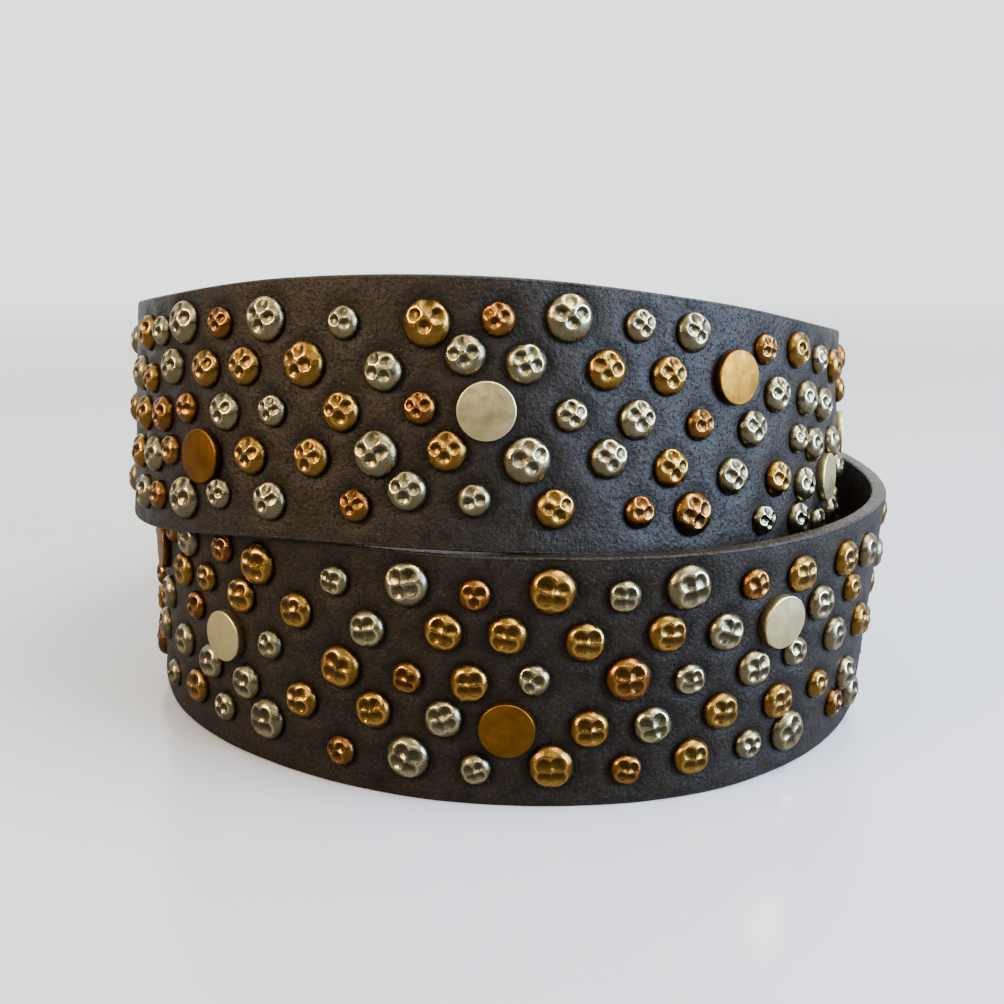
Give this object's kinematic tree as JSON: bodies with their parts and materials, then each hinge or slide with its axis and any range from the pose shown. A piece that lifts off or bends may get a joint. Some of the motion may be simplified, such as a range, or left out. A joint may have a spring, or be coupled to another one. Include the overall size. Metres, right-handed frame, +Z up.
{
  "type": "studded belt",
  "caption": "Wide dark leather belt covered in rows of domed metal studs and flat discs, wound into a standing coil with its plain buckle and tip at the back.",
  "frame": {"origin": "under the middle of the coil's outline, on the surface that it stands on", "axes": "+Z up along the coil's axis, -Y towards the side of the picture, +X to the right as seen in it"},
  "size_m": [0.1688, 0.1676, 0.0903],
  "materials": {
    "leather": "worn dark brown, slightly waxy",
    "silver": "aged nickel silver, soft shine",
    "brass": "antique brass, darkened in the hollows",
    "copper": "antique copper, darkened in the hollows"
  },
  "bodies": {
    "root": {"strap": "leather", "buckle": "brass", "disc_01": "brass", "disc_02": "silver", "disc_03": "brass", "disc_04": "silver", "disc_05": "brass", "disc_06": "silver", "disc_07": "brass", "disc_08": "silver", "disc_09": "brass", "disc_10": "silver", "disc_11": "brass", "disc_12": "silver", "disc_13": "brass", "disc_14": "silver", "disc_15": "silver"}
  },
  "joints": []
}
